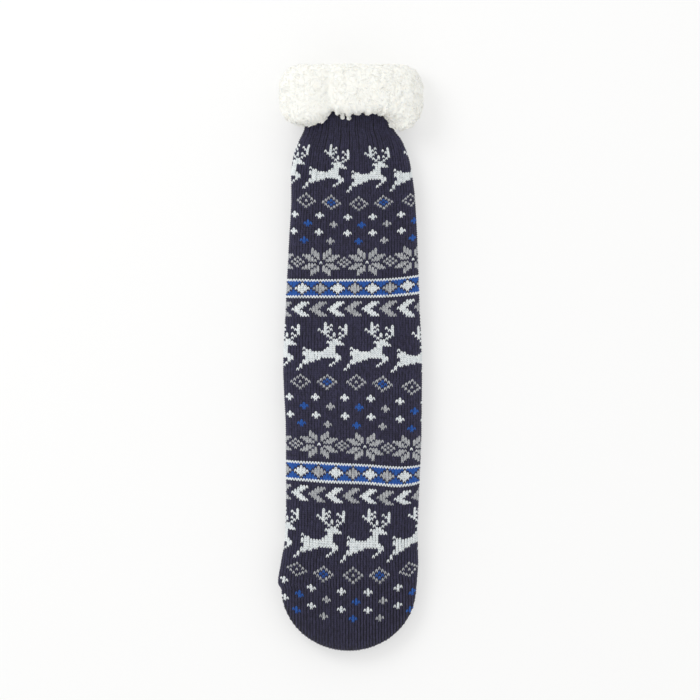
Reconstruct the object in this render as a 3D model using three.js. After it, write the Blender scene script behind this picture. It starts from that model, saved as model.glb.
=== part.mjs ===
// A lined house sock, laid flat on its sole with the instep up, in millimetres.
// +Y runs from the toe to the collar, +X to the right as seen from above, +Z up. The floor is Z = 0.
// Three pieces are sewn into one sock: a knitted outer that is closed at the toe, a fleece lining
// inside it, and the thick fleece cuff that is turned down over the collar.

import * as THREE from "three";

// Driving dimensions
const KNIT_LENGTH = 425; // toe tip to the collar's rim
const LEG_WIDTH = 102; // flat width of the leg, where it is widest
const LOFT = 27; // height of the lined leg as it lies
const TOE_LENGTH = 46; // the rounded end of the foot, as seen from above
const KNIT_WALL = 2.2; // double-faced knit with its floats
const FLEECE_WALL = 5; // pile and backing of the lining
const SEWN_GAP = 0.5; // between pieces that touch
const LINING_STEP = 10; // how far below the collar's rim the lining ends and the cuff takes over
const CUFF_DEPTH = 46; // the turned-down cuff, from its crown to its lowest edge
const CUFF_BULGE = 22; // how far the cuff stands out from the collar at the sides
const CUFF_CROWN = 9; // the fold's height above the collar's rim
const RIB_RELIEF = 0.5; // height of the ribs round the collar
const LUMP_RELIEF = 1.4; // height of the fleece's lumps on the cuff

// Fineness of the facets
const POINTS_ROUND = 40;
const LEG_PITCH = 24;
const COLLAR_PITCH = 7; // closer, because the sock narrows quickly there
const TOE_TURNS = [14, 28, 42, 54, 65, 74, 81, 86]; // degrees round the toe, from the leg to the tip
const HEM_ROWS = 5; // rows down the cuff's side that lies on the collar

// How square the cross-section is: 2 is an ellipse
const FULLNESS = 2.3;

// The outline as it lies, a row for each section. "at" is a share of the knit's length from the toe
// tip, left and right are shares of the leg's width from the sock's middle line, and top and under
// are shares of the loft. Under is negative where the sock's weight presses its underside flat.
const SECTIONS = [
  { at: 0.108, left: 0.488, right: 0.49, top: 0.9, under: -0.12 },
  { at: 0.119, left: 0.513, right: 0.494, top: 0.92, under: -0.13 },
  { at: 0.155, left: 0.49, right: 0.504, top: 0.95, under: -0.14 },
  { at: 0.2, left: 0.461, right: 0.5, top: 0.98, under: -0.14 },
  { at: 0.264, left: 0.454, right: 0.508, top: 1, under: -0.14 },
  { at: 0.388, left: 0.457, right: 0.529, top: 1, under: -0.14 },
  { at: 0.492, left: 0.475, right: 0.532, top: 1, under: -0.14 },
  { at: 0.598, left: 0.457, right: 0.515, top: 0.98, under: -0.14 },
  { at: 0.722, left: 0.431, right: 0.497, top: 0.96, under: -0.12 },
  { at: 0.785, left: 0.417, right: 0.482, top: 0.95, under: -0.08 },
  { at: 0.828, left: 0.417, right: 0.461, top: 0.96, under: 0 },
  { at: 0.868, left: 0.395, right: 0.425, top: 1, under: 0.06 },
  { at: 0.89, left: 0.356, right: 0.381, top: 1.05, under: 0.13 },
  { at: 0.911, left: 0.32, right: 0.326, top: 1.1, under: 0.18 },
  { at: 0.941, left: 0.314, right: 0.325, top: 1.13, under: 0.19 },
  { at: 1, left: 0.324, right: 0.333, top: 1.13, under: 0.19 },
];
const RIBS_FROM = 0.868; // share of the length where the ribbed collar begins
const RIBS_FULL = 0.9; // share of the length from which the ribs have their full height

// The cuff round the collar. Turn is in degrees: 0 is the right edge, 90 the top, 180 the left edge
// and 270 the side on the floor. Bulge is a share of CUFF_BULGE, and drop a share of CUFF_DEPTH.
// The row at 106 degrees is the cleft between the cuff's two lobes.
const CUFF_LOBES = [
  { turn: 0, bulge: 1, drop: 0.86 },
  { turn: 27, bulge: 0.95, drop: 0.97 },
  { turn: 54, bulge: 0.8, drop: 0.8 },
  { turn: 81, bulge: 0.7, drop: 0.76 },
  { turn: 97, bulge: 0.66, drop: 0.8 },
  { turn: 106, bulge: 0.5, drop: 0.68 },
  { turn: 117, bulge: 0.68, drop: 0.84 },
  { turn: 144, bulge: 0.86, drop: 0.98 },
  { turn: 171, bulge: 0.98, drop: 0.88 },
  { turn: 198, bulge: 0.86, drop: 0.8 },
  { turn: 234, bulge: 0.6, drop: 0.84 },
  { turn: 270, bulge: 0.5, drop: 0.8 },
  { turn: 306, bulge: 0.6, drop: 0.84 },
  { turn: 342, bulge: 0.86, drop: 0.82 },
];

// The turned-down fold in section, from its lower lip up its outside to the crown. Out is a share of
// the bulge, and up a share of the way from the lip to the crown.
const FOLD_OUTSIDE = [
  { out: 0.42, up: 0 },
  { out: 0.78, up: 0.06 },
  { out: 0.96, up: 0.2 },
  { out: 1, up: 0.38 },
  { out: 0.99, up: 0.56 },
  { out: 0.9, up: 0.74 },
  { out: 0.72, up: 0.88 },
  { out: 0.42, up: 0.97 },
  { out: 0.12, up: 1 },
];
// The same fold from the crown down into the mouth. In is a share of the whole wall, and down a
// share of the crown's height above the rim.
const FOLD_INSIDE = [
  { in: 0.3, down: 0.08 },
  { in: 0.7, down: 0.4 },
  { in: 0.95, down: 1.1 },
];

const WHOLE_WALL = KNIT_WALL + SEWN_GAP + FLEECE_WALL;
const LINING_END = KNIT_LENGTH - LINING_STEP;
const LUMPS_ROUND = 13; // lumps of fleece round the cuff
const LUMPS_UP = 9; // how fast they change from its lip to its crown, in radians
const LUMPS_SLANT = 3; // turns that each row of lumps makes against the next

// A value of a table's column at a place between its rows, on a smooth curve through them.
function between(rows, key, column, place) {
  const last = rows.length - 1;
  if (place <= rows[0][key]) return rows[0][column];
  if (place >= rows[last][key]) return rows[last][column];
  let i = 0;
  while (rows[i + 1][key] < place) i++;
  const slope = (a, b) => (rows[b][column] - rows[a][column]) / (rows[b][key] - rows[a][key]);
  const step = rows[i + 1][key] - rows[i][key];
  const t = (place - rows[i][key]) / step;
  const here = slope(i, i + 1);
  // A slope that changes sign is levelled, so that the curve never overshoots a row.
  const eased = (a, b) => (a * b <= 0 ? 0 : (2 * a * b) / (a + b));
  const start = i > 0 ? eased(slope(i - 1, i), here) : here;
  const end = i + 1 < last ? eased(here, slope(i + 1, i + 2)) : here;
  return (
    (2 * t ** 3 - 3 * t ** 2 + 1) * rows[i][column] +
    (t ** 3 - 2 * t ** 2 + t) * step * start +
    (3 * t ** 2 - 2 * t ** 3) * rows[i + 1][column] +
    (t ** 3 - t ** 2) * step * end
  );
}

// One ring of the sock: where it is, how far round the toe, and its outline in millimetres.
function ringAt(y, toeTurn = 0) {
  const share = y / KNIT_LENGTH;
  const read = (column, size) => between(SECTIONS, "at", column, share) * size;
  return {
    y,
    round: Math.sin(THREE.MathUtils.degToRad(toeTurn)),
    left: read("left", LEG_WIDTH),
    right: read("right", LEG_WIDTH),
    top: read("top", LOFT),
    under: read("under", LOFT),
  };
}

// A point of the skin that lies "grow" outside the knit's outer surface, or inside it if negative.
// No skin goes through the floor, and an inner one keeps its distance from it.
function skin(ring, turn, grow) {
  const c = Math.cos(turn);
  const across = Math.sign(c) * Math.abs(c) ** (2 / FULLNESS);
  const narrow = Math.sqrt(1 - ring.round ** 2);
  const half = (ring.left + ring.right) / 2 + grow;
  const edge = Math.min(1, Math.hypot(ring.round, narrow * across));
  const swell = (1 - edge ** FULLNESS) ** (1 / FULLNESS);
  const middle = (ring.top + Math.max(ring.under, 0)) / 2;
  const above = middle + (ring.top - middle + grow) * swell;
  const below = middle - (middle - ring.under + grow) * swell;
  return new THREE.Vector3(
    (ring.right - ring.left) / 2 + half * narrow * across,
    ring.y - (TOE_LENGTH + grow) * ring.round,
    Math.sin(turn) >= 0 ? above : Math.max(below, -Math.min(grow, 0)),
  );
}

function turnOf(i) {
  return (i / POINTS_ROUND) * 2 * Math.PI;
}

// A closed ring of points, with the ribs raised on it where the collar is ribbed.
function ringOfPoints(ring, grow, ribHeight = 0) {
  return Array.from({ length: POINTS_ROUND }, (_, i) =>
    skin(ring, turnOf(i), grow + (i % 2 ? ribHeight : 0)),
  );
}

// Places along the sock at an even pitch, without the last one.
function spaced(from, to, pitch) {
  const count = Math.round((to - from) / pitch);
  return Array.from({ length: count }, (_, i) => from + ((to - from) * i) / count);
}

// The rings of the sock from the toe to a place on the collar. The knit and its lining share them,
// so that the gap between the two is even.
function ringsUpTo(end) {
  const neck = RIBS_FROM * KNIT_LENGTH - COLLAR_PITCH * 2;
  const places = [
    ...spaced(TOE_LENGTH, neck, LEG_PITCH),
    ...spaced(neck, LINING_END, COLLAR_PITCH),
    LINING_END,
    KNIT_LENGTH,
  ];
  const toe = TOE_TURNS.map((turn) => ringAt(TOE_LENGTH, turn)).reverse();
  const leg = places.filter((y) => y <= end).map((y) => ringAt(y));
  return [...toe, ...leg];
}

function toeTip(grow) {
  return skin(ringAt(TOE_LENGTH, 90), 0, grow);
}

function ribHeightAt(y) {
  const share = y / KNIT_LENGTH;
  const rise = (share - RIBS_FROM) / (RIBS_FULL - RIBS_FROM);
  return RIB_RELIEF * THREE.MathUtils.clamp(rise, 0, 1);
}

// A surface through rings of points, as triangles. Tips holds the two points that shut its ends.
// Without them its last ring joins its first, as in a tyre.
function loft(rings, tips) {
  const corners = [];
  const face = (...points) => points.forEach((p) => corners.push(p.x, p.y, p.z));
  const n = POINTS_ROUND;
  const last = tips ? rings.length - 1 : rings.length;
  for (let r = 0; r < last; r++) {
    const a = rings[r];
    const b = rings[(r + 1) % rings.length];
    for (let i = 0; i < n; i++) {
      const j = (i + 1) % n;
      face(a[i], b[j], a[j]);
      face(a[i], b[i], b[j]);
    }
  }
  if (tips) {
    const [first, final] = [rings[0], rings[rings.length - 1]];
    for (let i = 0; i < n; i++) {
      const j = (i + 1) % n;
      face(tips[0], first[i], first[j]);
      face(tips[1], final[j], final[i]);
    }
  }
  const geometry = new THREE.BufferGeometry();
  geometry.setAttribute("position", new THREE.Float32BufferAttribute(corners, 3));
  geometry.computeVertexNormals();
  return geometry;
}

// A hollow closed at the toe: its outer skin up to the end, then its inner skin back to the toe.
function sleeve(end, outerGrow, wall, ribbed) {
  const rings = ringsUpTo(end);
  const outer = rings.map((ring) => ringOfPoints(ring, outerGrow, ribbed ? ribHeightAt(ring.y) : 0));
  const inner = rings.map((ring) => ringOfPoints(ring, outerGrow - wall)).reverse();
  return loft([...outer, ...inner], [toeTip(outerGrow), toeTip(outerGrow - wall)]);
}

// The knitted outer: foot, leg and ribbed collar in one piece, open only at the collar.
function knitOuter() {
  return sleeve(KNIT_LENGTH, 0, KNIT_WALL, true);
}

// The fleece lining: the same shape, a seam's gap inside the knit.
function fleeceLining() {
  return sleeve(LINING_END, -(KNIT_WALL + SEWN_GAP), FLEECE_WALL, false);
}

function lumpAt(turn, up) {
  const wave = Math.sin(LUMPS_ROUND * turn + LUMPS_UP * up);
  return LUMP_RELIEF * wave * Math.cos(LUMPS_UP * up - LUMPS_SLANT * turn);
}

// The cuff: the fleece comes up inside the collar, folds over its rim and hangs down outside it.
// Its section goes round the rim as a hook, and is swept round the collar.
function fleeceCuff() {
  const crown = KNIT_LENGTH + CUFF_CROWN;
  const mouth = LINING_END + SEWN_GAP;
  const rim = KNIT_LENGTH + SEWN_GAP;
  const lobes = [...CUFF_LOBES, { ...CUFF_LOBES[0], turn: 360 }];
  const place = (turn, y, grow) => skin(ringAt(y), turn, grow);
  const ribClear = RIB_RELIEF + SEWN_GAP;
  const outside = (turn, row) => {
    const degrees = THREE.MathUtils.radToDeg(turn);
    const bulge = between(lobes, "turn", "bulge", degrees) * CUFF_BULGE;
    const lip = crown - between(lobes, "turn", "drop", degrees) * CUFF_DEPTH;
    return { lip, y: lip + (crown - lip) * row.up, grow: bulge * row.out + lumpAt(turn, row.up) };
  };
  const hemRow = (row) => (turn) => {
    const hem = outside(turn, FOLD_OUTSIDE[0]).lip + CUFF_CROWN / 3;
    return place(turn, hem + ((rim - hem) * row) / HEM_ROWS, ribClear);
  };
  const hook = [
    ...FOLD_OUTSIDE.map((row) => (turn) => {
      const { y, grow } = outside(turn, row);
      return place(turn, y, grow);
    }),
    ...FOLD_INSIDE.map((row) => (turn) =>
      place(turn, crown - CUFF_CROWN * row.down, -WHOLE_WALL * row.in),
    ),
    (turn) => place(turn, mouth, -WHOLE_WALL),
    (turn) => place(turn, mouth, -(KNIT_WALL + SEWN_GAP)),
    (turn) => place(turn, rim, -(KNIT_WALL + SEWN_GAP)),
    ...Array.from({ length: HEM_ROWS + 1 }, (_, i) => hemRow(HEM_ROWS - i)),
  ];
  const rings = hook.map((point) =>
    Array.from({ length: POINTS_ROUND }, (_, i) => point(turnOf(i))),
  );
  return loft(rings);
}

const navyKnit = new THREE.MeshStandardMaterial({ color: 0x2b2a40, roughness: 0.95 });
const whiteFleece = new THREE.MeshStandardMaterial({ color: 0xf1f0ea, roughness: 1 });
navyKnit.name = "navy acrylic knit";
whiteFleece.name = "white pile fleece";

function piece(name, geometry, material) {
  const mesh = new THREE.Mesh(geometry, material);
  mesh.name = name;
  return mesh;
}

const sock = new THREE.Group();
sock.name = "house_sock";
sock.add(
  piece("knit_outer", knitOuter(), navyKnit),
  piece("fleece_lining", fleeceLining(), whiteFleece),
  piece("fleece_cuff", fleeceCuff(), whiteFleece),
);

// The origin is on the floor, under the middle of the sock's own box.
const extent = new THREE.Box3().setFromObject(sock);
const middle = extent.getCenter(new THREE.Vector3());
sock.position.set(-middle.x, -middle.y, -extent.min.z);

export default sock;
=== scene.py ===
# %% [markdown]
# # A lined house sock with a stranded pattern
# The sock is three things sewn together: a knitted outer, a pile fleece lining, and the lining's
# thick cuff turned down over the ribbed collar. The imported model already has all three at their
# real size, so this lesson only gives them their looks. The knit gets every stitch as geometry,
# because at this size the eye reads a knit by its stitches, and the fleece gets its curls.

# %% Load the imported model
import math

import bpy
import numpy as np
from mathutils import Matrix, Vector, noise


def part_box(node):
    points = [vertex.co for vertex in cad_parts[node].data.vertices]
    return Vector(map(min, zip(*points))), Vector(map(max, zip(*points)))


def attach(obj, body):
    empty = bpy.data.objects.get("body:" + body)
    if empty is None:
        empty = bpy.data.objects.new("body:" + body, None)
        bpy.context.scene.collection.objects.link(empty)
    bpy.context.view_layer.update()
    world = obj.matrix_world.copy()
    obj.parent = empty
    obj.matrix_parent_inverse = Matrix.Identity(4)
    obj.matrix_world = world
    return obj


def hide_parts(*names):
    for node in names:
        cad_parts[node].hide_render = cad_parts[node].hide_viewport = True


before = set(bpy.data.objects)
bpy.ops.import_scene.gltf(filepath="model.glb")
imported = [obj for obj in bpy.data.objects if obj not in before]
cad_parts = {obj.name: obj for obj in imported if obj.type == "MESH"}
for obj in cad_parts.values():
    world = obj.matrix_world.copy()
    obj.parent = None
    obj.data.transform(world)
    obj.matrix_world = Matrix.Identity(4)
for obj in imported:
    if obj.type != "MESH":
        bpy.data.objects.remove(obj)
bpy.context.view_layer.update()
random = np.random.default_rng(seed=11)
MM = 0.001
print("packed nodes:", sorted(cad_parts))

# %% [markdown]
# ## Measures
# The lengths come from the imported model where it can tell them. The outline is a short table, a
# row for each section of the sock as it lies: shares of the knit's length, of the leg's width and
# of the loft, as the pattern cutter would note them.

# %% Measures of the sock, in millimetres
knit_low, knit_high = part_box("knit_outer")
lining_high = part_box("fleece_lining")[1]
cuff_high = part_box("fleece_cuff")[1]
KNIT_LENGTH = (knit_high.y - knit_low.y) / MM
TOE_TIP = knit_low.y / MM
LINING_END = (lining_high.y - knit_low.y) / MM
CUFF_CROWN = (cuff_high.y - knit_high.y) / MM
LEG_WIDTH = 102.0
LOFT = 27.0
TOE_LENGTH = 46.0
KNIT_WALL = 2.2
FLEECE_WALL = 5.0
SEWN_GAP = 0.5
FULLNESS = 2.3
CUFF_DEPTH = 46.0
CUFF_BULGE = 22.0

SECTION_COLUMNS = ("at", "left", "right", "top", "under")
SECTIONS = np.array([
    (0.108, 0.488, 0.490, 0.90, -0.12),
    (0.119, 0.513, 0.494, 0.92, -0.13),
    (0.155, 0.490, 0.504, 0.95, -0.14),
    (0.200, 0.461, 0.500, 0.98, -0.14),
    (0.264, 0.454, 0.508, 1.00, -0.14),
    (0.388, 0.457, 0.529, 1.00, -0.14),
    (0.492, 0.475, 0.532, 1.00, -0.14),
    (0.598, 0.457, 0.515, 0.98, -0.14),
    (0.722, 0.431, 0.497, 0.96, -0.12),
    (0.785, 0.417, 0.482, 0.95, -0.08),
    (0.828, 0.417, 0.461, 0.96, 0.00),
    (0.868, 0.395, 0.425, 1.00, 0.06),
    (0.890, 0.356, 0.381, 1.05, 0.13),
    (0.911, 0.320, 0.326, 1.10, 0.18),
    (0.941, 0.314, 0.325, 1.13, 0.19),
    (1.000, 0.324, 0.333, 1.13, 0.19),
])
MIDDLE_X = knit_high.x / MM - SECTIONS[:, 2].max() * LEG_WIDTH
print(f"knit {KNIT_LENGTH:.0f} mm long, middle line at x = {MIDDLE_X:.2f} mm")


# %% Smooth curves through a table
def smooth_through(x_rows, y_rows, x):
    """The value at x on a curve through the rows that never overshoots them."""
    x_rows, y_rows = np.asarray(x_rows, float), np.asarray(y_rows, float)
    x = np.clip(np.asarray(x, float), x_rows[0], x_rows[-1])
    step = np.diff(x_rows)
    slope = np.diff(y_rows) / step
    before, after = slope[:-1], slope[1:]
    same_way = before * after > 0
    eased = np.where(same_way, 2 * before * after / np.where(same_way, before + after, 1), 0)
    tangent = np.concatenate([slope[:1], eased, slope[-1:]])
    i = np.clip(np.searchsorted(x_rows, x, side="right") - 1, 0, len(step) - 1)
    t = (x - x_rows[i]) / step[i]
    return (
        (2 * t**3 - 3 * t**2 + 1) * y_rows[i]
        + (t**3 - 2 * t**2 + t) * step[i] * tangent[i]
        + (3 * t**2 - 2 * t**3) * y_rows[i + 1]
        + (t**3 - t**2) * step[i] * tangent[i + 1]
    )


def section(place, column):
    """A size of the sock's section in mm, at a place in mm from the toe tip."""
    shares = SECTIONS[:, SECTION_COLUMNS.index(column)]
    share = smooth_through(SECTIONS[:, 0], shares, place / KNIT_LENGTH)
    return share * (LEG_WIDTH if column in ("left", "right") else LOFT)


# %% [markdown]
# ## The sock's skin
# Every layer of the sock is the same skin, grown outwards or inwards. The section is a flattened
# oval whose underside is pressed flat by the floor, and the toe is the same section narrowed round
# a half oval. A slack knit is never quite even, so a few soft troughs and ridges are laid on it.
# Writing it once as a function keeps the knit, its backing and the lining together.

# %% Soft troughs and ridges of the slack knit, listed one by one
# x and place in mm, depth in mm (a ridge is negative), half length, half width, and the turn of
# the crease from the sock's length in degrees
CREASES = [
    (-30, 352, 1.3, 26, 6, -24),
    (-18, 360, 0.7, 20, 5, -10),
    (33, 354, 1.2, 25, 6, 22),
    (16, 362, 0.6, 20, 4, 8),
    (-40, 300, 0.9, 22, 7, 8),
    (42, 268, 0.9, 26, 7, -6),
    (-36, 236, 0.8, 20, 9, -50),
    (22, 214, 0.6, 30, 12, 60),
    (-20, 176, -0.5, 34, 10, 78),
    (38, 160, 0.9, 20, 8, -30),
    (-38, 122, 1.0, 20, 8, 24),
    (30, 96, 0.7, 24, 9, 66),
    (-12, 82, 0.5, 22, 9, -82),
    (-34, 54, 0.8, 16, 6, 40),
    (34, 46, 0.8, 16, 6, -42),
]


def crease_depth(x, place):
    """How far the troughs and ridges press the top of the sock down, in mm."""
    depth = np.zeros(np.broadcast(x, place).shape)
    for cx, at, deep, half_length, half_width, turn in CREASES:
        a = math.radians(turn)
        along = (place - at) * math.cos(a) + (x - cx) * math.sin(a)
        across = (x - cx) * math.cos(a) - (place - at) * math.sin(a)
        depth += deep * np.exp(-((along / half_length) ** 2) - (across / half_width) ** 2)
    return depth


# %% The skin of the leg and of the toe
def flattened_oval(edge):
    """How full the oval stands at a share of the way out to its edge, from 1 down to 0."""
    return np.clip(1 - np.clip(edge, 0, 1) ** FULLNESS, 0, 1) ** (1 / FULLNESS)


def skin(place, turn, grow, toe_turn=0.0):
    """Points in mm of the skin that lies grow mm outside the knit, at a turn round the sock."""
    place, turn, toe_turn = np.broadcast_arrays(np.asarray(place, float), turn, toe_turn)
    c = np.cos(turn)
    across = np.sign(c) * np.abs(c) ** (2 / FULLNESS)
    left, right = section(place, "left"), section(place, "right")
    top, under = section(place, "top"), section(place, "under")
    round_toe, narrow = np.sin(toe_turn), np.cos(toe_turn)
    x = (right - left) / 2 + ((left + right) / 2 + grow) * narrow * across
    y = place - (TOE_LENGTH + grow) * round_toe
    swell = flattened_oval(np.hypot(round_toe, narrow * across))
    middle = (top + np.maximum(under, 0)) / 2
    above = middle + (top - middle + grow) * swell - crease_depth(x, y) * swell
    below = np.maximum(middle - (middle - under + grow) * swell, np.maximum(-grow, 0))
    z = np.where(np.sin(turn) >= 0, above, below)
    return np.stack([x + MIDDLE_X, y + TOE_TIP, z], -1)


print("widest point of the knit:", np.round(skin(112, 0.0, 0), 1))

# %% [markdown]
# ## Charts of the pattern
# Stranded patterns are knitted from a chart, a row of it for each round. Each figure here is such
# a chart, drawn as text. They are old figures of northern knitting: leaping reindeer, open
# diamonds, small crosses, eight-pointed stars, a bright band and arrowheads. A dot is the navy
# ground, W white, G grey and B blue. Charts are the natural form, since one character is one
# stitch, and the same figure repeats round the whole sock.

# %% Reindeer, sixteen stitches wide
REINDEER = """
.........W......
W........W.W....
W........WW...W.
W......W.W.W...W
W.......WWW.....
W........W..W.W.
..........W.W..W
...........W..W.
............WW..
..........WWWWW.
...........WWWWW
...........WW...
..W.......WWW...
...WW....WWWW...
..WWWWWWWWWWW...
..WWWWWWWWWWWW..
...WWWWWWWWWWWW.
...WWWWW.....WW.
..WWWW.......W..
..WW........W...
.W.........W....
.W..............
W...............
"""

# %% Diamonds and small crosses, on a repeat of nineteen stitches
DIAMONDS = """
....G.........G....
...G.G.......G.G...
..G.B.G.....G...G..
.G.B.B.G...G..G..G.
..G.B.G.....G...G..
...G.G.......G.G...
....G.........G....
"""
CROSSES = """
W.........W........
WW.......WWW......W
W.........W........
...................
.....G.........B...
....GGG.......BBB..
.....G.........B...
...................
W.........W........
WW.......WWW......W
W.........W........
...................
....G.........B....
...GGG.......BBB...
....G.........B....
"""

# %% Stars, the bright band and arrowheads
STARS = """
.....G.....G....
.....GG...GG....
.....GGG.GGG....
..GGG.GG.GG.GGG.
G..GGG.G.G.GGG..
.G..GGG...GGG..G
G.G.....W.....G.
.G..GGG...GGG..G
G..GGG.G.G.GGG..
..GGG.GG.GG.GGG.
.....GGG.GGG....
.....GG...GG....
.....G.....G....
"""
BAND = """
WWWWWWWWWWWW
.BBBBB.BBBBB
G.BBB.W.BBB.
GG.B.WWW.B.G
GGG.WWWWW.GG
GG.B.WWW.B.G
G.BBB.W.BBB.
.BBBBB.BBBBB
WWWWWWWWWWWW
"""
ARROWHEADS = """
...WWW...GGG
..WWW...GGG.
.WWW...GGG..
WWW...GGG...
.WWW...GGG..
..WWW...GGG.
...WWW...GGG
"""
YARNS = {".": 0, "W": 1, "G": 2, "B": 3}


def rows_of(text):
    """A chart's rows, with each stitch as the number of its yarn."""
    return [[YARNS[c] for c in row] for row in text.split()]


# %% The order of the figures down the sock
# Each figure's chart, the column where its repeat starts, counted to the right from the sock's
# middle line, and the plain rounds after it
FIGURES = [
    (REINDEER, -3, 2),
    (DIAMONDS, -13, 2),
    (CROSSES, -13, 2),
    (STARS, -4, 2),
    (BAND, 0, 2),
    (ARROWHEADS, -9, 3),
]
WALES = 96
FIGURE_ROUNDS = 223
# The column of each wale, counted from the middle line, with those to the left below zero
COLUMNS = (np.arange(WALES) + WALES // 2) % WALES - WALES // 2


def charted():
    """The yarn of each stitch from the first reindeer's antlers down to the last crosses."""
    chart = np.zeros((FIGURE_ROUNDS, WALES), int)
    rounds = 0
    while rounds < FIGURE_ROUNDS:
        for text, start, plain in FIGURES:
            for row in rows_of(text):
                if rounds < FIGURE_ROUNDS:
                    chart[rounds] = np.array(row)[(COLUMNS - start) % len(row)]
                rounds += 1
            rounds += plain
    return chart


chart = charted()
print("stitches of navy, white, grey and blue:", np.bincount(chart.ravel()))

# %% [markdown]
# ## Where each stitch lies
# A knit's columns, called wales, run along the sock at an even spacing round it, and at the toe
# they run on side by side until they meet its rounded end. Its rounds are even too, but a slack
# sock drifts: the rounds hang lower in the middle of the toe and wave a little above it. So each
# round's height is read from a short table down the middle line, and a second table tells how
# much it drifts to the left and right.

# %% Rounds down the middle line, and their drift
# Round, and its distance from the toe tip in mm
ROUND_PLACES = [
    (-38, 427.0), (0, 371.3), (22, 340.0), (28, 330.5), (35, 320.8), (47, 303.0), (57, 287.5),
    (70, 268.3), (80, 253.2), (87, 242.4), (109, 208.4), (115, 199.1), (122, 187.2), (134, 167.0),
    (144, 151.6), (157, 131.5), (167, 114.8), (174, 104.5), (196, 66.6), (202, 56.2), (209, 44.0),
    (213, 36.6), (217, 30.7), (221, 24.2), (237, -2.2), (253, -28.6),
]
# Columns of the drift table, counted from the middle line, and its rows: the place in mm, then the
# drift towards the toe in mm
DRIFT_COLUMNS = (-24, -18, -13, -9, -3, 0, 6, 10, 16, 20, 24)
DRIFT = [
    (430, 0, 0, 0, 0, 0, 0, 0, 0, 0, 0, 0),
    (371, -4.5, -3.5, -3.0, -2.3, 0, 0, -1.5, -1.7, -1.7, -2.0, -2.6),
    (340, -3.6, -2.9, -1.9, -1.3, 0, 0, -0.3, -0.6, -0.9, -1.6, -2.6),
    (330, -3.4, -2.8, -1.8, -1.1, -0.1, 0, -0.5, -1.4, -2.4, -3.3, -4.2),
    (318, -2.3, -1.8, -1.4, -0.7, 0, 0, -0.3, -1.0, -2.0, -3.3, -4.2),
    (303, -1.5, -1.1, -0.5, -0.2, 0, 0, -0.3, -0.8, -1.7, -2.7, -3.7),
    (287, -0.8, -0.3, 0.4, 0.3, 0, 0, -0.1, -0.7, -1.3, -2.3, -3.4),
    (268, 0, 0, 0, 0, 0, 0, 0, -0.2, -1.6, -2.8, -4.0),
    (253, 0.4, 0.4, 0.4, 0.4, 0.1, 0, 0, -0.2, -0.6, -1.2, -1.8),
    (242, 0, 0, 0, 0, 0, 0, 0, 0.3, 1.2, 2.6, 4.0),
    (208, -0.4, -0.2, -0.1, 0, 0, 0, 0.3, 0.8, 2.0, 3.4, 4.4),
    (199, -0.5, -0.4, -0.2, 0, 0, 0, 0.6, 1.7, 3.0, 4.0, 4.6),
    (185, -1.2, -1.0, -0.8, -0.6, -0.3, 0, 0.3, 1.0, 2.3, 2.9, 3.2),
    (167, -2.2, -1.9, -1.2, -0.7, -0.2, 0, 0.4, 0.9, 1.9, 2.4, 2.6),
    (152, -2.4, -2.0, -1.6, -1.1, -0.3, 0, 0.5, 1.1, 1.8, 2.1, 2.0),
    (131.5, -3.0, -1.9, -1.4, -0.8, -0.2, 0, 0.7, 1.5, 2.4, 1.7, 0),
    (115, -3.2, -2.4, -1.2, -0.4, -0.1, 0, 0.5, 1.4, 2.4, 1.5, -0.5),
    (104, -2.6, -1.6, -0.8, -0.2, 0, 0, 0, 0.7, 1.0, -0.6, -2.0),
    (62, -6.5, -3.6, -1.9, -0.8, 0, 0, 0, 0, -1.2, -3.6, -6.5),
    (50, -8.5, -5.6, -2.4, -1.1, -0.1, 0, 0.2, 0, -2.4, -5.2, -8.2),
    (44, -11.0, -6.4, -3.0, -1.8, -0.3, 0, 0.3, -0.4, -3.2, -6.4, -10.0),
]
# Place, and how far the middle wale lies to the right there, along the skin, in mm
TWIST = [
    (46, 1.1), (50.6, 2.0), (58, 1.2), (67, 0.3), (85, 0.0), (138, 0.0), (192, 0.2), (209, 1.1),
    (254, 1.5), (307, 2.0), (334, 2.1), (371, 3.7), (425, 3.7),
]
# Where the knit is slack its wales lie closer together: the place, by what share on the top and
# the underside alike, and by what further share on the top alone
SLACK = [
    (46, 0.03, 0.0), (58, 0.02, 0.05), (85, 0.02, 0.05), (192, 0.0, 0.08), (254, 0.03, 0.03),
    (303, 0.04, 0.0), (425, 0.04, 0.0),
]


def drifted(place, column):
    """The place of a stitch whose round crosses the middle line at that place, in mm."""
    rows = np.array(DRIFT[::-1], float)
    # The underside drifts as the top does over it
    column = np.where(np.abs(column) <= WALES / 4, column, np.sign(column) * WALES / 2 - column)
    by_row = np.stack([smooth_through(DRIFT_COLUMNS, row[1:], column) for row in rows])
    drift = np.empty(len(column))
    for i, at in enumerate(np.broadcast_to(place, column.shape)):
        drift[i] = np.interp(at, rows[:, 0], by_row[:, i])
    return place - drift


# %% Turns of the wales round the sock
SAMPLES_ROUND = 1440


def walked_along(points):
    """How far a walk from point to point has come at each of them."""
    return np.concatenate([[0], np.cumsum(np.linalg.norm(np.diff(points, axis=0), axis=1))])


def wale_turns(place, grow):
    """The turn round the sock of each wale at one place, and the mean width of a stitch there."""
    turns = math.pi / 2 - np.linspace(0, 2 * math.pi, SAMPLES_ROUND + 1)
    walked = walked_along(skin(place, turns, grow))
    slack_places, slack_both, slack_top = np.array(SLACK, float).T
    once_round = 2 * math.pi * np.arange(WALES) / WALES
    both = smooth_through(slack_places, slack_both, place) * np.sin(2 * once_round) / 2
    top = smooth_through(slack_places, slack_top, place) * np.sin(once_round)
    share = (once_round - both - top) / (2 * math.pi)
    wales = share * walked[-1] + smooth_through(*np.array(TWIST, float).T, place)
    twice_walked = np.concatenate([walked, walked[1:] + walked[-1]])
    twice_turned = np.concatenate([turns, turns[1:] - 2 * math.pi])
    return np.interp(wales, twice_walked, twice_turned), walked[-1] / WALES


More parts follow.
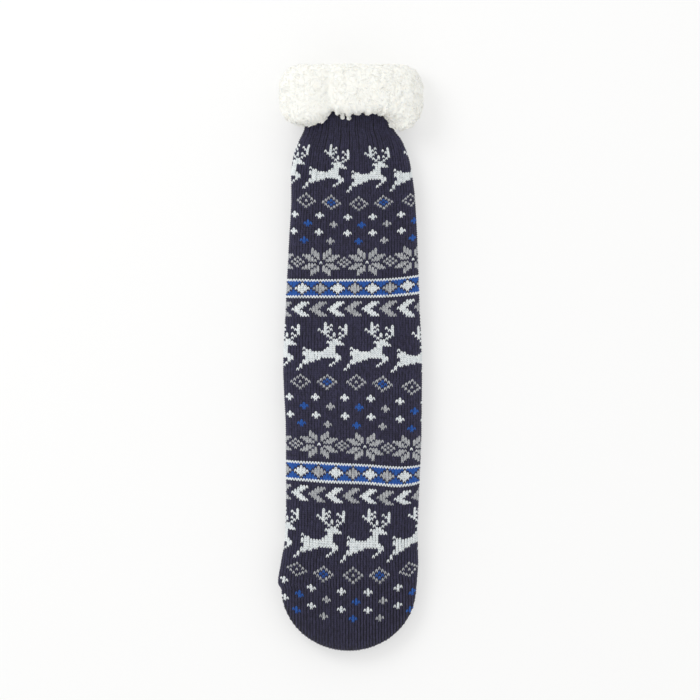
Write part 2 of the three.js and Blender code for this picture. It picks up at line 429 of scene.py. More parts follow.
TURN_ROWS = 90
TURN_PLACES = np.linspace(TOE_LENGTH, KNIT_LENGTH, TURN_ROWS)
# The skin that the stitches stand on: mm outside the knit, so that this one lies inside it
STITCH_BASE = -0.6
turned = [wale_turns(place, STITCH_BASE) for place in TURN_PLACES]
turn_table = np.stack([turns for turns, _ in turned])
width_table = np.array([width for _, width in turned])
print(f"a stitch is {width_table.min():.2f} to {width_table.max():.2f} mm wide")

# %% [markdown]
# ## The frame of each stitch
# A stitch needs a point on the skin, the way its wale runs, the way across it and the way out. In
# the leg these come from small steps along the skin. On the toe the wales run side by side, so
# each is walked down its own slice of the rounded end until it meets the edge.

# %% Places of the rounds
ROUNDS = np.arange(ROUND_PLACES[0][0], ROUND_PLACES[-1][0])
middle_places = smooth_through(*np.array(ROUND_PLACES, float).T, ROUNDS)
places = np.stack([drifted(place, COLUMNS.astype(float)) for place in middle_places])
print("rounds:", len(ROUNDS), "from", middle_places[0].round(1), "to", middle_places[-1].round(1))


def turns_at(place):
    """The turn of each wale at its own place, for a table of places with a column for each wale."""
    row = (place - TURN_PLACES[0]) / (TURN_PLACES[1] - TURN_PLACES[0])
    # A hair short of the last row, so that there is always a next one
    row = np.clip(row, 0, TURN_ROWS - 1.001)
    low = row.astype(int)
    share = row - low
    wale = np.broadcast_to(np.arange(WALES), place.shape)
    return turn_table[low, wale] * (1 - share) + turn_table[low + 1, wale] * share


# %% Stitches of the leg
# How far the last stitches stay from the collar's rim, and a small step along the skin, in mm
RIM_CLEAR = 0.8
SMALL_STEP = 0.2
# About how far one stitch turns round the sock, in radians
STITCH_TURN = 0.06


def leg_stitches():
    """The leg's stitches, their directions read from small steps along the skin."""
    turn = turns_at(places)
    width = np.interp(places, TURN_PLACES, width_table)
    point = skin(places, turn, STITCH_BASE)
    along = skin(places + SMALL_STEP, turns_at(places + SMALL_STEP), STITCH_BASE) - point
    across = skin(places, turn - SMALL_STEP / width * STITCH_TURN, STITCH_BASE) - point
    pitch = -np.gradient(places, axis=0)
    here = (places >= TOE_LENGTH) & (places < KNIT_LENGTH - RIM_CLEAR)
    return dict(
        point=point[here], along=along[here], across=across[here], width=width[here], pitch=pitch[here],
        round=np.broadcast_to(ROUNDS[:, None], here.shape)[here],
        wale=np.broadcast_to(np.arange(WALES), here.shape)[here],
    )


# %% Stitches of the toe
TOE_STEPS = 160
# How far the last stitches stay from the toe's edge, and how far before and after a stitch its
# direction is read, in mm
EDGE_CLEAR = 0.4
TOE_REACH = 0.6


def toe_slice(turn):
    """A slice of the toe at one side: its points from the leg to the edge."""
    c = math.cos(turn)
    across_share = math.copysign(abs(c) ** (2 / FULLNESS), c)
    deepest = math.sqrt(max(0.0, 1 - across_share**2))
    toe_turn = np.arcsin(np.sin(np.linspace(0, math.pi / 2, TOE_STEPS)) * deepest)
    slice_share = np.clip(across_share / np.cos(toe_turn), -1, 1)
    slice_turn = np.arccos(np.sign(slice_share) * np.abs(slice_share) ** (FULLNESS / 2))
    if math.sin(turn) < 0:
        slice_turn = -slice_turn
    return skin(TOE_LENGTH, slice_turn, STITCH_BASE, toe_turn)


def toe_outwards(point, side):
    """The way out, as the rounded form slopes, on its upper side (1) or its under side (-1)."""
    left, right = section(TOE_LENGTH, "left"), section(TOE_LENGTH, "right")
    half = (left + right) / 2 + STITCH_BASE
    middle = section(TOE_LENGTH, "top") / 2
    high = middle + STITCH_BASE
    dx = (point[:, 0] - MIDDLE_X - (right - left) / 2) / half
    dy = (point[:, 1] - TOE_TIP - TOE_LENGTH) / (TOE_LENGTH + STITCH_BASE)
    edge = np.minimum(np.hypot(dx, dy), 1) ** (FULLNESS - 2)
    lift = np.clip(np.abs(point[:, 2] - middle) / high, 0, 1) ** (FULLNESS - 1) / high
    return np.stack([edge * dx / half, edge * dy / TOE_LENGTH, side * lift], -1)


def toe_wale(wale):
    """The toe's stitches in one wale, walked down its slice from the leg towards the edge."""
    turn = turn_table[0, wale]
    walk = toe_slice(turn)
    length = walked_along(walk)
    down = TOE_LENGTH - places[:, wale]
    here = (down > 0) & (down < length[-1] - EDGE_CLEAR)
    point, before, after = (
        np.stack([np.interp(down[here] + step, length, walk[:, i]) for i in range(3)], -1)
        for step in (0, -TOE_REACH, TOE_REACH)
    )
    along = before - after
    across = np.cross(along, toe_outwards(point, np.sign(math.sin(turn))))
    return dict(
        point=point, along=along, across=across, width=np.full(len(point), width_table[0]),
        pitch=-np.gradient(places[:, wale])[here], round=ROUNDS[here],
        wale=np.full(len(point), wale),
    )


def joined(parts):
    """The stitches of several parts as one set."""
    return {k: np.concatenate([part[k] for part in parts]) for k in parts[0]}


leg = leg_stitches()
toe = joined([toe_wale(wale) for wale in range(WALES)])
stitches = joined([leg, toe])
print(len(leg["wale"]), "stitches in the leg,", len(toe["wale"]), "on the toe")

# %% The yarn and the frame of each stitch
def unit(v):
    """The vectors, each with a length of 1."""
    return v / np.maximum(np.linalg.norm(v, axis=-1, keepdims=True), 1e-9)


in_chart = (stitches["round"] >= 0) & (stitches["round"] < FIGURE_ROUNDS)
stitches["yarn"] = np.where(
    in_chart, chart[np.clip(stitches["round"], 0, FIGURE_ROUNDS - 1), stitches["wale"]], 0
)
stitches["along"] = unit(stitches["along"])
stitches["out"] = unit(np.cross(unit(stitches["across"]), stitches["along"]))
stitches["across"] = unit(np.cross(stitches["along"], stitches["out"]))
stitches["place"] = stitches["point"][:, 1] - TOE_TIP
print("share of the stitches that face upwards:", (stitches["out"][:, 2] > 0).mean().round(2))

# %% [markdown]
# ## Materials
# All three yarns and the pile are acrylic, a spun staple fibre. Fibres scatter light, so such yarn
# has no clear highlight: it is rough, with a faint sheen at its edges from loose fibre ends. Each
# yarn is two plies twisted together, which a fine slanted wave shows as a bump. No two stitches
# take the light alike, so each carries a tone of its own that moves its colour a little.

# %% Colours and nodes
def linear(colour):
    """A hex sRGB colour as the linear values that a shader works in."""
    srgb = [int(colour[i:i + 2], 16) / 255 for i in (1, 3, 5)]
    return [c / 12.92 if c <= 0.04045 else ((c + 0.055) / 1.055) ** 2.4 for c in srgb] + [1.0]


def set_inputs(tree, node, inputs):
    """Gives a node its inputs, each a value or the output of another node."""
    for name, value in inputs.items():
        if isinstance(value, bpy.types.NodeSocket):
            tree.links.new(value, node.inputs[name])
        else:
            node.inputs[name].default_value = value


def add(tree, kind, inputs=None, **settings):
    """A new node in the tree, with its settings and inputs."""
    made = tree.nodes.new(kind)
    for name, value in settings.items():
        setattr(made, name, value)
    set_inputs(tree, made, inputs or {})
    return made


def new_material(name):
    """A new material, its node tree and its shader."""
    material = bpy.data.materials.new(name)
    material.use_nodes = True
    return material, material.node_tree, material.node_tree.nodes["Principled BSDF"]


# %% Spun acrylic yarn
ACRYLIC_IOR = 1.49
YARN_ROUGHNESS = 0.9
# The yarn's real sizes: streaks of fibre to the mm, mm of yarn from ply to ply, the slant of the
# plies in degrees, and the depth of the groove between them in mm. They are too fine to be seen
# one by one from the camera, where they only roughen the yarn, and show from close by.
STREAKS = 2.2
PLY_LENGTH = 0.9
PLY_SLANT = 35
PLY_GROOVE = 0.2
# The length of a wave of Blender's wave texture at a scale of 1
UNIT_WAVE = 2 * math.pi / 20


def spun_acrylic(name, shaded, lit, sheen):
    """Two plies of spun fibre: rough, streaked, and soft at the edges with loose fibre ends."""
    material, tree, shader = new_material(name)
    tone = add(tree, "ShaderNodeAttribute", attribute_name="tone")
    strand = add(tree, "ShaderNodeUVMap", uv_map="strand").outputs["UV"]
    fibres = add(tree, "ShaderNodeTexNoise", {"Vector": strand, "Scale": STREAKS, "Detail": 3.0})
    both = {0: tone.outputs["Fac"], 1: fibres.outputs["Fac"]}
    mixed = add(tree, "ShaderNodeMath", both, operation="ADD")
    share = add(tree, "ShaderNodeMath", {0: mixed.outputs[0], 1: 0.5}, operation="MULTIPLY")
    colour = add(tree, "ShaderNodeMixRGB", {
        "Fac": share.outputs[0], "Color1": linear(shaded), "Color2": linear(lit),
    })
    slant = add(tree, "ShaderNodeMapping", {
        "Vector": strand, "Rotation": (0, 0, math.radians(PLY_SLANT)),
    })
    plies = add(tree, "ShaderNodeTexWave", {
        "Vector": slant.outputs["Vector"], "Scale": UNIT_WAVE / PLY_LENGTH, "Distortion": 1.0,
    }, bands_direction="Y")
    bump = add(tree, "ShaderNodeBump", {
        "Height": plies.outputs["Fac"], "Strength": 0.5, "Distance": PLY_GROOVE * MM,
    })
    set_inputs(tree, shader, {
        "Base Color": colour.outputs["Color"], "Normal": bump.outputs["Normal"],
        "Roughness": YARN_ROUGHNESS, "IOR": ACRYLIC_IOR,
        "Sheen Weight": sheen, "Sheen Roughness": 0.5,
    })
    return material


navy_yarn = spun_acrylic("navy_spun_acrylic", "#171525", "#42405f", 0.12)
white_yarn = spun_acrylic("white_spun_acrylic", "#ced6da", "#fcfefd", 0.1)
# The backing's navy, far darker than the stitches', is painted shade: it stands for the shadow in the
# gaps between the stitches.
painted_shade_yarn = spun_acrylic("navy_spun_acrylic_painted_shade", "#0f0e16", "#1c1a28", 0.0)
grey_yarn = spun_acrylic("grey_spun_acrylic", "#8c9095", "#d8d9db", 0.12)
blue_yarn = spun_acrylic("blue_spun_acrylic", "#174a9c", "#2f69bd", 0.12)
YARN_MATERIALS = [navy_yarn, white_yarn, grey_yarn, blue_yarn]
print("yarns:", [m.name for m in YARN_MATERIALS])


# %% Acrylic pile fleece
# The depth of the grooves between the curls of pile, in mm
PILE_GROOVE = 0.6
# The radius over which red, green and blue light spread in the pile, a little less for blue
PILE_SPREAD = (0.004, 0.0038, 0.0035)


def pile_fleece(name, shaded, lit, curl_size):
    """A knitted pile, its fibres brushed up and curled. Light goes a little way into it."""
    material, tree, shader = new_material(name)
    curls = add(tree, "ShaderNodeTexNoise", {
        "Vector": add(tree, "ShaderNodeTexCoord").outputs["Object"],
        "Scale": 1 / (curl_size * MM), "Detail": 4.0, "Roughness": 0.6,
    })
    # The same noise sets the colour: the shaded one in the grooves between the curls and the lit one on
    # their tops, as painted shade in the grooves.
    colour = add(tree, "ShaderNodeMixRGB", {
        "Fac": curls.outputs["Fac"], "Color1": linear(shaded), "Color2": linear(lit),
    })
    bump = add(tree, "ShaderNodeBump", {
        "Height": curls.outputs["Fac"], "Strength": 0.2, "Distance": PILE_GROOVE * MM,
    })
    set_inputs(tree, shader, {
        "Base Color": colour.outputs["Color"], "Normal": bump.outputs["Normal"],
        "Roughness": 0.95, "IOR": ACRYLIC_IOR, "Sheen Weight": 0.25, "Sheen Roughness": 0.6,
        "Subsurface Weight": 0.7, "Subsurface Radius": PILE_SPREAD,
    })
    return material


# The curls' sizes are in mm, and the lining's are coarser than the cuff's
cuff_pile = pile_fleece("white_acrylic_pile", "#efeee7", "#f8f8f2", curl_size=1.6)
lining_pile = pile_fleece("white_acrylic_lining_pile", "#e9e7de", "#f6f4ee", curl_size=2.2)
print("piles:", cuff_pile.name, "and", lining_pile.name)

# %% [markdown]
# ## From points to a piece
# Every piece of this sock is rows of points with four-sided faces between them. One function turns
# such points into a mesh, gives it a material, hides the imported part that it replaces and hangs
# it on the root body that it rides on.
# Filling a mesh from whole arrays is quick, and there are far too many stitches to add singly.

# %% A mesh, and a piece of the sock
def smooth_mesh(name, points, faces):
    """A smooth mesh from points in mm and four-sided faces."""
    mesh = bpy.data.meshes.new(name)
    mesh.vertices.add(len(points))
    mesh.vertices.foreach_set("co", (points * MM).astype(np.float32).ravel())
    mesh.loops.add(faces.size)
    mesh.loops.foreach_set("vertex_index", faces.astype(np.int32).ravel())
    mesh.polygons.add(len(faces))
    mesh.polygons.foreach_set("loop_start", np.arange(0, faces.size, 4, dtype=np.int32))
    mesh.update(calc_edges=True)
    mesh.shade_smooth()
    return mesh


def piece(name, points, faces, material, replaces=None, uv=None, tone=None):
    """A piece of the sock. Yarn also has its place on the strand and a tone at each point."""
    mesh = smooth_mesh(name, points, faces)
    if uv is not None:
        layer = mesh.uv_layers.new(name="strand")
        layer.data.foreach_set("uv", uv[faces.ravel()].astype(np.float32).ravel())
    if tone is not None:
        attribute = mesh.attributes.new("tone", "FLOAT", "POINT")
        attribute.data.foreach_set("value", tone.astype(np.float32))
    mesh.materials.append(material)
    obj = bpy.data.objects.new(name, mesh)
    bpy.context.collection.objects.link(obj)
    if replaces:
        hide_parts(replaces)
    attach(obj, "root")
    print(f"{name}: {len(faces) * 2} triangles")


# %% [markdown]
# ## The stitches
# A knit stitch shows as two legs of yarn that lean together, like a V that points to the toe or a
# tent that points to the cuff. Here it is the tent. Each leg is a half tube that rises from under
# the stitch above, arches over the fabric and dives under its neighbour below. A half tube is
# enough, for nobody sees a yarn's back. Array code lays all of them at once.

# %% The legs of a stitch
# Along the leg: how far from the wale's middle in stitch widths, how far up the sock in rounds,
# half its own width in stitch widths, and how high it stands over the fabric as a share
LEG_STATIONS = np.array([
    (0.08, 0.74, 0.12, 0.25),
    (0.19, 0.05, 0.18, 1.00),
    (0.31, -0.74, 0.12, 0.10),
])
YARN_RISE = 0.9
ROUND_OF_LEG = {4: [(-1, 0), (-0.5, 0.87), (0.5, 0.87), (1, 0)], 3: [(-1, 0), (0, 1), (1, 0)]}
# How much fuller each yarn is than the navy one, and how much further its legs spread
FULLER_YARN = np.array([1.0, 1.18, 1.05, 1.16])
WIDER_LEGS = np.array([1.0, 1.22, 1.1, 1.18])
# The collar is ribbed: the ribs start and are full at these places, and every other wale sinks
# back by this much, in mm
RIB_FROM = 369.0
RIB_FULL = 374.0
PURL_SINK = 0.18
# The toe is knitted tighter: between these places its yarn grows from this share to its full width
TIGHT_TOE = (50.0, 120.0)
TIGHT_YARN = 0.88
# The wales waver a little, and more in the gathered collar, in mm
WAVER = 0.1
COLLAR_WAVER = 0.35
WAVER_LENGTH = 9.0
# How much the legs differ in lean and fullness, as a share
JITTER = 0.08
# A leg's streaks are read from somewhere on a strand of this length, and no yarn lies lower over
# the floor than this, in mm
STRAND_LENGTH = 400
YARN_CLEAR = 0.02

wale_phase = np.cumsum(random.normal(size=WALES))
print("yarn widths from", FULLER_YARN.min(), "to", FULLER_YARN.max(), "times the navy one's")


# %% Ribs, wavering wales and the faces of a leg
def spread(values):
    """One value a stitch, ready to spread over its two legs, their stations and points round."""
    return values[:, None, None, None]


def purled(place, wale):
    """How fully a wale of the collar is purled, from 0 to 1."""
    return np.clip((place - RIB_FROM) / (RIB_FULL - RIB_FROM), 0, 1) * (wale % 2)


def wavered(place, wale):
    """How far a wale has wavered to the side at a place, in mm."""
    most = np.where(place > RIB_FROM, COLLAR_WAVER, WAVER)
    return most * np.sin(place / WAVER_LENGTH + wale_phase[wale])


def half_tube_faces(stations, around):
    """Four-sided faces of one open half tube."""
    k, i = np.meshgrid(np.arange(stations - 1), np.arange(around - 1), indexing="ij")
    corner = (k * around + i).ravel()
    return np.stack([corner, corner + around, corner + around + 1, corner + 1], -1)


def repeated(one, count, points_each):
    """The faces of one small form, repeated for the many that lie one after another."""
    return (one[None] + np.arange(count)[:, None, None] * points_each).reshape(-1, 4)


# %% How stitches are laid
def lay_stitches(name, chosen, material, points_round):
    """One piece of the chosen stitches, each as two arched half tubes of yarn."""
    s = {k: v[chosen] for k, v in stitches.items()}
    each_leg = (len(s["wale"]), 2, 1, 1)
    ring_across, ring_out = np.array(ROUND_OF_LEG[points_round]).T
    side = np.array([-1.0, 1.0])[None, :, None, None]
    shift, up, half, rise = [c[None, None, :, None] for c in LEG_STATIONS.T]
    wide = spread(s["width"])
    fuller = spread(FULLER_YARN[s["yarn"]])
    wider = spread(WIDER_LEGS[s["yarn"]])
    slim = spread(np.interp(s["place"], TIGHT_TOE, (TIGHT_YARN, 1.0)))
    lean = 1 + JITTER * random.normal(size=each_leg)
    swell = 1 + JITTER * random.normal(size=each_leg)
    across = (side * shift * wider * lean + half * fuller * swell * ring_across) * slim * wide
    across = across + spread(wavered(s["place"], s["wale"]))
    along = up * spread(s["pitch"])
    sunk = spread(PURL_SINK * purled(s["place"], s["wale"]))
    out = YARN_RISE * rise * fuller * swell * ring_out - sunk
    points = spread(s["point"]) + sum(
        far[..., None] * spread(s[way])
        for far, way in ((across, "across"), (along, "along"), (out, "out"))
    )
    points[..., 2] = np.maximum(points[..., 2], YARN_CLEAR)
    start = random.uniform(0, STRAND_LENGTH, each_leg)
    uv = np.stack(np.broadcast_arrays(half * ring_across * wide + start, along + start), -1)
    tone = np.broadcast_to(random.uniform(0, 1, each_leg), points.shape[:-1])
    one_leg = half_tube_faces(len(LEG_STATIONS), points_round)
    faces = repeated(one_leg, 2 * len(s["wale"]), len(LEG_STATIONS) * points_round)
    piece(
        name, points.reshape(-1, 3), faces, material,
        uv=uv.reshape(-1, 2), tone=tone.reshape(-1),
    )


# %% Lay them, a piece for each yarn and part of the sock
# A stitch is on the upper side down to this lean of its way out, and the leg starts at this place
FACING_UP = -0.15
HALF_WAY = 215.0
upper = stitches["out"][:, 2] > FACING_UP
navy = stitches["yarn"] == 0
lay_stitches("stitches_navy_leg", navy & upper & (stitches["place"] >= HALF_WAY), navy_yarn, 4)
lay_stitches("stitches_navy_foot", navy & upper & (stitches["place"] < HALF_WAY), navy_yarn, 4)
lay_stitches("stitches_navy_underside", navy & ~upper, navy_yarn, 3)
for yarn, name in ((1, "white"), (2, "grey"), (3, "blue")):
    same = stitches["yarn"] == yarn
    lay_stitches(f"stitches_{name}_upper", same & upper, YARN_MATERIALS[yarn], 4)
    lay_stitches(f"stitches_{name}_underside", same & ~upper, YARN_MATERIALS[yarn], 3)

# %% [markdown]
# ## The fabric behind the stitches, and the lining
# Between its stitches a stranded knit shows more yarn, for the strands that aren't in use run
# behind. A closed sleeve of the knit's real wall stands for them. Its navy is painted much darker,
# as painted shade for the shadow that lies in the gaps between the stitches. The lining is a
# second sleeve inside it, sewn in at the collar and free elsewhere.

# %% Sleeves
AROUND = 120
TOE_RINGS = 22
# The higher this power, the nearer to the rim the fuller edge stays
EDGE_SHARPNESS = 12


def sleeve_rings(end, grow_out, grow_in, pitch, fuller_edge=0.0):
    """Rings of points from the toe to the open end on the outside, and back on the inside."""
    turns = math.pi / 2 - np.arange(AROUND) / AROUND * 2 * math.pi
    sideways = np.abs(np.cos(turns)) ** (2 / FULLNESS)
    toe = [(TOE_LENGTH, t) for t in np.radians(np.linspace(90, 0, TOE_RINGS))]
    leg = [(p, 0.0) for p in np.linspace(TOE_LENGTH, end, round((end - TOE_LENGTH) / pitch))[1:]]
    walk = toe + leg
    edge = [np.hypot(math.sin(t), math.cos(t) * sideways) ** EDGE_SHARPNESS for _, t in walk]
    outer = [skin(p, turns, grow_out + fuller_edge * e, t) for (p, t), e in zip(walk, edge)]
    inner = [skin(p, turns, grow_in, t) for p, t in reversed(walk)]
    return np.array(outer + inner)


def ring_faces(rows, around, closed):
    """Four-sided faces between rings of points, the last one joined to the first where closed."""
    r, i = np.meshgrid(np.arange(rows if closed else rows - 1), np.arange(around), indexing="ij")
    nexts, j = (r + 1) % rows, (i + 1) % around
    corners = [r * around + i, r * around + j, nexts * around + j, nexts * around + i]
    return np.stack(corners, -1).reshape(-1, 4)


# How far the backing lies inside the knit's outside, in mm. At the sock's rim, seen edge on, it
# stands this much fuller and closes the stitches' gaps.
BACKING_DEPTH = 0.85
FULLER_EDGE = 0.6
backing_rings = sleeve_rings(
    KNIT_LENGTH, -BACKING_DEPTH, -KNIT_WALL, pitch=4.0, fuller_edge=FULLER_EDGE
)
piece(
    "knit_backing", backing_rings.reshape(-1, 3), ring_faces(len(backing_rings), AROUND, False),
    painted_shade_yarn, replaces="knit_outer",
)
LINING_OUT = KNIT_WALL + SEWN_GAP
WHOLE_WALL = LINING_OUT + FLEECE_WALL
lining_rings = sleeve_rings(LINING_END, -LINING_OUT, -WHOLE_WALL, pitch=8.0)
piece(
    "lining", lining_rings.reshape(-1, 3), ring_faces(len(lining_rings), AROUND, False),
    lining_pile, replaces="fleece_lining",
)

# %% [markdown]
# ## The cuff
# The fleece comes up inside the collar, folds over its rim and hangs down outside it. Its section
# is a hook swept round the collar, fuller at the sides, with a cleft where its edge turns in. Pile
# fleece clumps, so soft lumps are raised on it before the curls of pile are laid all over.

# %% The cuff's lobes and its lip
# Turn round the collar in degrees, bulge and drop as shares of the full ones
CUFF_LOBES = np.array([
    (0, 1.00, 0.90), (14, 0.99, 1.01), (27, 0.95, 1.07), (37, 0.88, 0.94), (50, 0.80, 0.84),
    (58, 0.77, 0.81), (70, 0.74, 0.80), (81, 0.70, 0.81), (92, 0.68, 0.82), (100, 0.60, 0.80),
    (106, 0.50, 0.76), (111, 0.60, 0.84), (117, 0.70, 0.92), (130, 0.79, 0.98), (144, 0.83, 1.00),
    (171, 0.89, 0.92), (198, 0.80, 0.80), (234, 0.60, 0.84), (270, 0.50, 0.80), (306, 0.60, 0.84),
    (342, 0.86, 0.82), (360, 1.00, 0.90),
])
# The hem is a cut edge of pile, so its line is ragged: waves round the collar, their mm, and
# where they begin in radians
HEM_WAVES = [(23, 0.5, 1.0), (41, 0.5, 2.0), (67, 0.4, 0.0)]
CUFF_AROUND = 380

cuff_turns = np.arange(CUFF_AROUND) / CUFF_AROUND * 2 * math.pi
cuff_degrees = np.degrees(cuff_turns)
bulge = smooth_through(CUFF_LOBES[:, 0], CUFF_LOBES[:, 1], cuff_degrees) * CUFF_BULGE
crown = KNIT_LENGTH + CUFF_CROWN
lip = crown - smooth_through(CUFF_LOBES[:, 0], CUFF_LOBES[:, 2], cuff_degrees) * CUFF_DEPTH
for waves, rag, begin in HEM_WAVES:
    lip += rag * np.sin(waves * cuff_turns + begin)
print(f"the cuff stands {bulge.min():.1f} to {bulge.max():.1f} mm out from the knit")

# %% The fold over the collar's rim
# From the hem up to the crown: how far out as a share of the bulge, how far up from lip to crown
FOLD_OUTSIDE = np.array([
    (0.42, 0.0), (0.78, 0.06), (0.96, 0.2), (1.0, 0.38), (0.99, 0.56), (0.9, 0.74), (0.72, 0.88),
    (0.42, 0.97), (0.12, 1.0),
])
# From the crown down inside: how far in as a share of the whole wall, how far down from the crown
FOLD_INSIDE = np.array([(0.3, 0.08), (0.7, 0.4), (0.95, 1.1)])
CUFF_ROWS = 96


def refined(rows):
    """A few rows of values round the cuff as many rows, on smooth curves through them."""
    steps = np.arange(len(rows), dtype=float)
    fine_steps = np.linspace(0, steps[-1], CUFF_ROWS)
    return np.stack([smooth_through(steps, column, fine_steps) for column in np.array(rows).T], 1)


fold_at = [lip + (crown - lip) * up for _, up in FOLD_OUTSIDE]
fold_grow = [bulge * out for out, _ in FOLD_OUTSIDE]
fold_at += [np.full(CUFF_AROUND, crown - CUFF_CROWN * down) for _, down in FOLD_INSIDE]
fold_grow += [np.full(CUFF_AROUND, -WHOLE_WALL * share) for share, _ in FOLD_INSIDE]
rows = [skin(at, cuff_turns, grow) for at, grow in zip(refined(fold_at), refined(fold_grow))]
print("rings of the fold:", len(rows))

# %% The inside of the fold, along the collar's rim and back to the hem
# How far the cuff stays off the knit that it hangs over, in mm, and the rings back to the hem
HEM_CLEAR = 1.0
HEM_ROWS = 8
below = LINING_END + SEWN_GAP
rim = KNIT_LENGTH + SEWN_GAP
corners = [(below, -WHOLE_WALL), (below, -LINING_OUT), (rim, -LINING_OUT), (rim, HEM_CLEAR)]
rows += [skin(np.full(CUFF_AROUND, at), cuff_turns, grow) for at, grow in corners]
for share in np.linspace(0, 1, HEM_ROWS + 1)[1:]:
    rows.append(skin(rim + (lip + CUFF_CROWN / 3 - rim) * share, cuff_turns, HEM_CLEAR))
cuff_smooth = np.array(rows)
print("cuff rings, points round and axes:", cuff_smooth.shape)

# %% Lumps of the pile
# Lumps raised one upon another: their size and height in mm, and where their pattern starts
PILE_LUMPS = [(12.0, 1.2, 3.1), (5.2, 0.9, 7.7), (2.6, 0.4, 1.9)]
LUMP_ROUNDING = 1.5
# The lumps stand on a form that lies this far inside the smooth one, in mm
LUMPS_FROM = 1.9
# Ring of the fold, and the share of the lumps left there, since they fade where the pile turns in
LUMPS_LEFT = [(72, 1.0), (84, 0.5), (CUFF_ROWS - 1, 0.2)]
# No pile lies lower over the floor than this, in mm
PILE_CLEAR = 0.05


def lumps(points, size, start):
    """Rounded lumps of about one size, 1 at their middles and near 0 between them."""
    found = np.array([noise.voronoi(p)[0][0] for p in points / size + start])
    return 1 - np.clip(found, 0, 1) ** LUMP_ROUNDING


to_next_ring = np.roll(cuff_smooth, -1, axis=0) - cuff_smooth
round_the_ring = np.roll(cuff_smooth, -1, axis=1) - np.roll(cuff_smooth, 1, axis=1)
cuff_cross = np.cross(to_next_ring, round_the_ring)
cuff_out = unit(cuff_cross)
flat_points = cuff_smooth[:CUFF_ROWS].reshape(-1, 3)
relief = sum(height * lumps(flat_points, size, start) for size, height, start in PILE_LUMPS)
relief = relief.reshape(CUFF_ROWS, CUFF_AROUND) - LUMPS_FROM
left = np.interp(np.arange(CUFF_ROWS), *np.array(LUMPS_LEFT).T)
cuff_points = cuff_smooth.copy()
cuff_points[:CUFF_ROWS] += cuff_out[:CUFF_ROWS] * (relief * left[:, None])[..., None]
cuff_points[..., 2] = np.maximum(cuff_points[..., 2], PILE_CLEAR)
cuff_faces = ring_faces(len(cuff_points), CUFF_AROUND, True)
piece("cuff_core", cuff_points.reshape(-1, 3), cuff_faces, cuff_pile, replaces="fleece_cuff")

# %% [markdown]
# ## Curls of the pile
# Pile is told by its edge, and a bump in the material would leave the cuff's outline smooth. Hair
# could make the pile, but it is heavy and gives no mesh. So short commas of fibre, each a thin
# tapered tube on an arc, are strewn over the fold, and a few tufts of them hang from the hem.

# %% The measures of the curls
CURLS = 9600
CURLS_A_PIECE = 3200
CURLS_A_TUFT = 40
# The rings along a curl and the points round each
CURL_RINGS = 4
CURL_SIDES = 4
# A curl's own radius, the radius of its arc, its bow away from the cuff and how deep it is set
# into the pile, in mm
CURL_RADIUS = 0.4
CURL_BEND = 1.2
CURL_BOW = 0.18
CURL_SINK = 0.2
# The least and the most of the arc's radius and of the bow, as shares, and of the arc in degrees
BENDS = (0.7, 1.3)
BOWS = (0.5, 1.2)
ARCS = (80, 190)
# A curl tapers with the sine of this stretch of a half turn, down to this share at the least
TAPER = (0.1, 0.9)
THINNEST = 0.35
# Tufts that hang from the hem over the collar: x and place in mm, and radius
TUFTS = [
    (-5.8, 397.0, 1.7), (-5.6, 394.6, 1.3), (-1.4, 396.6, 1.6), (-0.9, 394.0, 1.1),
    (6.5, 397.6, 1.3), (14.0, 398.0, 1.3), (22.5, 397.8, 1.4), (27.5, 397.0, 1.5),
]
# The curls' feet lie this share of the radius out from a tuft's middle
TUFT_CORE = 0.7
print(CURLS, "curls on the cuff,", CURLS_A_TUFT * len(TUFTS), "on the tufts")

# %% Where the curls lie
# The last ring of the fold with curls, the rings next to the hem on either side, and how much
# closer together their curls lie
LAST_CURLED = 88
HEM_CURLED = 5
CLOSER_AT_HEM = 2.0
# Curls lie where the cuff is more than this over the floor, in mm, and up to this share of the
# way to the next ring
CURLS_OVER = 1.0
RING_SHARE = 0.9


def on_the_cuff(count):
    """Places on the cuff for its curls, closer together along the hem, and the way out there."""
    area = np.linalg.norm(cuff_cross, axis=-1) * (cuff_points[..., 2] > CURLS_OVER)
    area[LAST_CURLED:-HEM_CURLED] = 0
    area[:HEM_CURLED] *= CLOSER_AT_HEM
    area[-HEM_CURLED:] *= CLOSER_AT_HEM
    chance = (area / area.sum()).ravel()
    pick = random.choice(len(chance), size=count, p=chance)
    r, i = pick // CUFF_AROUND, pick % CUFF_AROUND
    onwards = random.uniform(0, RING_SHARE, (count, 1)) * to_next_ring[r, i]
    return cuff_points[r, i] + onwards, cuff_out[r, i]


def on_the_tufts():
    """Places on the hanging tufts for their curls, and the way out there."""
    out = unit(random.normal(size=(len(TUFTS), CURLS_A_TUFT, 3)))
    x, place, radius = np.array(TUFTS).T
    over_knit = section(place, "top") + HEM_CLEAR + radius
    middle = np.stack([x, place + TOE_TIP, over_knit], -1)
    base = middle[:, None] + out * radius[:, None, None] * TUFT_CORE
    return base.reshape(-1, 3), out.reshape(-1, 3)


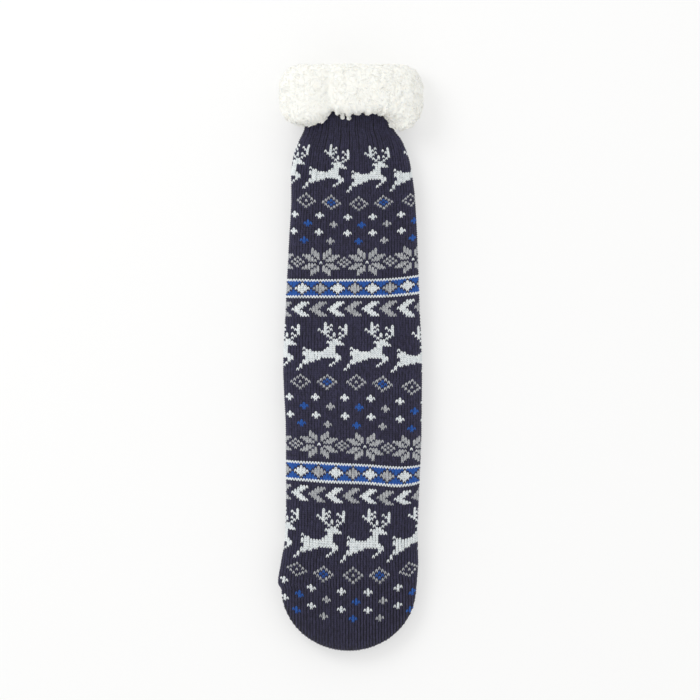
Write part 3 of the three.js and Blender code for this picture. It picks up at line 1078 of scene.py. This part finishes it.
# %% Lay the curls
def curls(name, base, n):
    """Short commas of pile fibre that lie on the cuff, each a thin tapered tube on an arc."""
    count = len(base)
    t = unit(np.cross(n, random.normal(size=(count, 3))))
    b = np.cross(n, t)
    s = np.linspace(0, 1, CURL_RINGS)[None, :, None]
    bend = CURL_BEND * random.uniform(*BENDS, (count, 1, 1))
    angle = s * np.radians(random.uniform(*ARCS, (count, 1, 1)))
    outwards = np.cos(angle) * t[:, None] + np.sin(angle) * b[:, None]
    bow = CURL_BOW * np.sin(math.pi * s) * random.uniform(*BOWS, (count, 1, 1))
    path = base[:, None] + bend * outwards + n[:, None] * (bow - CURL_SINK)
    taper = np.sin(math.pi * (TAPER[0] + (TAPER[1] - TAPER[0]) * s))
    thick = CURL_RADIUS * (THINNEST + (1 - THINNEST) * taper)
    turn = np.arange(CURL_SIDES) / CURL_SIDES * 2 * math.pi
    ring = (
        np.cos(turn)[None, None, :, None] * outwards[:, :, None]
        + np.sin(turn)[None, None, :, None] * n[:, None, None]
    ) * thick[..., None]
    points = path[:, :, None] + ring
    points[..., 2] = np.maximum(points[..., 2], PILE_CLEAR)
    one_curl = ring_faces(CURL_RINGS, CURL_SIDES, False)
    faces = repeated(one_curl, count, CURL_RINGS * CURL_SIDES)
    piece(name, points.reshape(-1, 3), faces, cuff_pile)


for number in range(CURLS // CURLS_A_PIECE):
    curls(f"cuff_curls_{number + 1}", *on_the_cuff(CURLS_A_PIECE))
curls("hem_tufts", *on_the_tufts())

# %% [markdown]
# ## Floor, light and camera
# The sock is shown from straight above on a plain white floor, in even light with one soft source
# at the upper left, so that its shadow falls softly to the right. The floor is matt paper that
# also gives a little light of its own, as a lit table does. That keeps it near white round the
# sock and its shadow pale, with no more light on the sock from above.

# %% Floor
FLOOR_SIZE = 6.0
# How far the paper lies under the sock, in metres, and the strength of its own light
FLOOR_GAP = 0.0002
PAPER_GLOW = 0.45
bpy.ops.mesh.primitive_plane_add(size=FLOOR_SIZE, location=(0, 0, -FLOOR_GAP))
floor = bpy.context.object
floor.name = "floor"
paper, paper_tree, paper_shader = new_material("white_matt_paper")
set_inputs(paper_tree, paper_shader, {
    "Base Color": linear("#b8b8b7"), "Roughness": 0.9,
    "Emission Color": linear("#ffffff"), "Emission Strength": PAPER_GLOW,
})
floor.data.materials.append(paper)
print("floor", FLOOR_SIZE, "m wide")

# %% Light
# The strength of the light from all round, and the soft source's width and place in metres and
# its power in watts
EVEN_STRENGTH = 0.92
KEY_WIDTH = 0.9
KEY_PLACE = (-0.85, 0.75, 1.35)
KEY_POWER = 7.5
world = bpy.data.worlds.new("even_light")
world.use_nodes = True
set_inputs(world.node_tree, world.node_tree.nodes["Background"], {
    "Color": linear("#ffffff"), "Strength": EVEN_STRENGTH,
})
bpy.context.scene.world = world
key = bpy.data.lights.new("soft_key", "AREA")
key.shape = "DISK"
key.size = KEY_WIDTH
key.energy = KEY_POWER
key_light = bpy.data.objects.new("soft_key", key)
key_light.location = KEY_PLACE
key_light.rotation_euler = (-key_light.location).to_track_quat("-Z", "Y").to_euler()
bpy.context.collection.objects.link(key_light)
bpy.context.scene.view_settings.view_transform = "Standard"

# %% Camera
# In metres: the camera's height, the width that it sees at the sock's mid height, and how far
# along the sock it stands. The sensor's width is in mm.
CAMERA_HEIGHT = 8.0
VIEW_WIDTH = 0.518
VIEW_MIDDLE_Y = 0.0057
SENSOR_WIDTH = 36.0
camera = bpy.data.cameras.new("from_above")
camera.sensor_width = SENSOR_WIDTH
camera.lens = SENSOR_WIDTH * (CAMERA_HEIGHT - LOFT / 2 * MM) / VIEW_WIDTH
camera_object = bpy.data.objects.new("from_above", camera)
camera_object.location = (0, VIEW_MIDDLE_Y, CAMERA_HEIGHT)
bpy.context.collection.objects.link(camera_object)
bpy.context.scene.camera = camera_object
